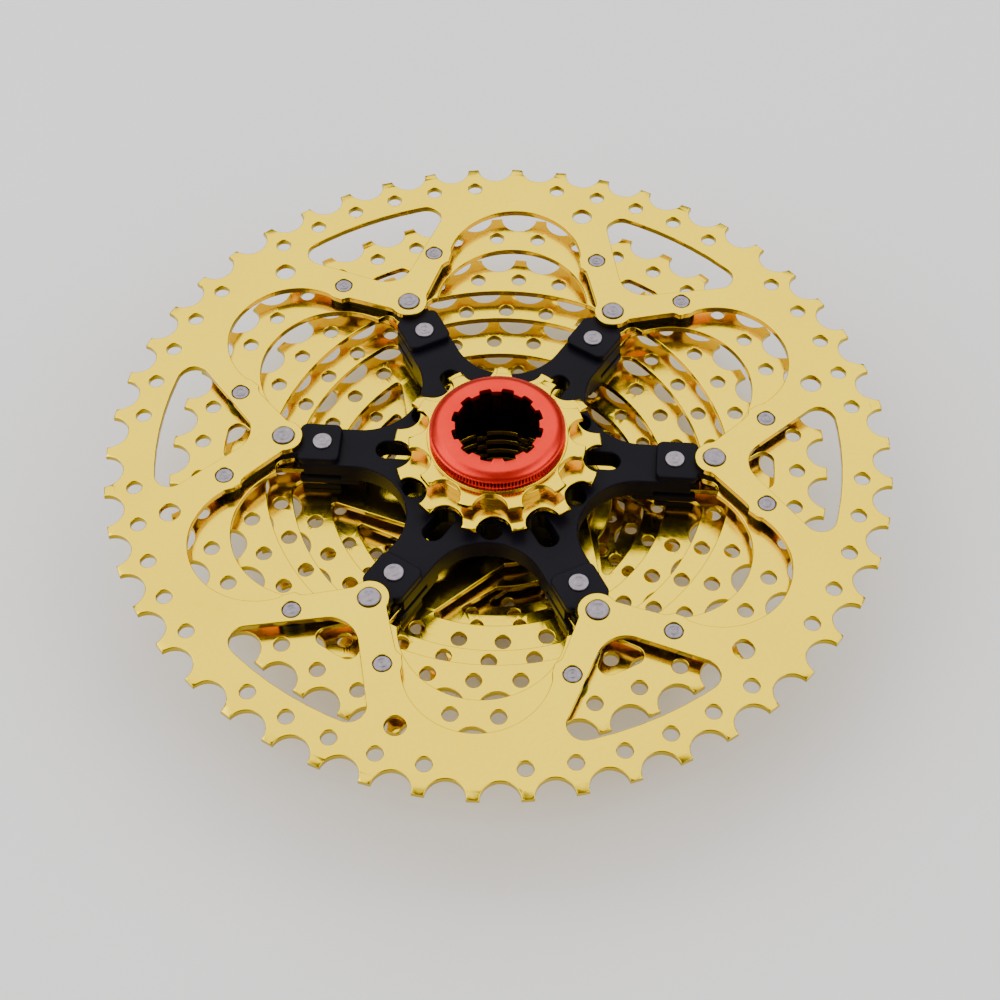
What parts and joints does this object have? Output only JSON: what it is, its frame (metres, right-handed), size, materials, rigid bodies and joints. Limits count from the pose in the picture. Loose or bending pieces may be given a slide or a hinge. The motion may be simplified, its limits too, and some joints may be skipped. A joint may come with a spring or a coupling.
{
  "type": "cassette sprocket",
  "caption": "Wide-range bicycle cassette: gold sprockets riveted to a black spider with open scalloped windows, with the two smallest cogs and a red lockring stacked loose on its hub",
  "frame": {"origin": "middle of the resting face, on the cassette's axis, at the lower face of the smallest fixed sprocket", "axes": "+Z is the axis of rotation, from the small end to the large end; +X is to the right in the work picture and +Y points away from its viewer"},
  "size_m": [0.2038, 0.2038, 0.0429],
  "materials": {
    "gold_steel": "gold-coloured mirror plating on stamped steel",
    "black_aluminium": "black anodised, satin, machined",
    "red_aluminium": "red anodised, satin face with a knurled rim",
    "rivet_steel": "plain zinc-plated steel, pressed heads"
  },
  "bodies": {
    "cassette": {"sprocket_50t": "gold_steel", "sprocket_42t": "gold_steel", "sprocket_36t": "gold_steel", "sprocket_32t": "gold_steel", "sprocket_28t": "gold_steel", "sprocket_24t": "gold_steel", "sprocket_21t": "gold_steel", "sprocket_18t": "gold_steel", "sprocket_15t": "gold_steel", "spider": "black_aluminium", "nose_rivets": "rivet_steel", "leg_rivets": "rivet_steel", "leg_spacers": "black_aluminium", "pad_rivets": "rivet_steel", "step_spacers": "black_aluminium", "spacer_28_24": "black_aluminium", "spacer_24_21": "black_aluminium", "spacer_21_18": "black_aluminium", "spacer_18_15": "black_aluminium", "cluster_pins": "rivet_steel"},
    "cog_13t": {"cog_13t": "gold_steel"},
    "cog_11t": {"cog_11t": "gold_steel"},
    "lockring": {"lockring": "red_aluminium"}
  },
  "joints": [
    {"name": "cog_13t_lift", "type": "slide", "parent": "cassette", "child": "cog_13t", "axis": [0, 0, 1], "range_m": [0, 0.03]},
    {"name": "cog_11t_lift", "type": "slide", "parent": "cog_13t", "child": "cog_11t", "axis": [0, 0, 1], "range_m": [0, 0.03]},
    {"name": "lockring_lift", "type": "slide", "parent": "cog_11t", "child": "lockring", "axis": [0, 0, 1], "range_m": [0, 0.03]}
  ]
}
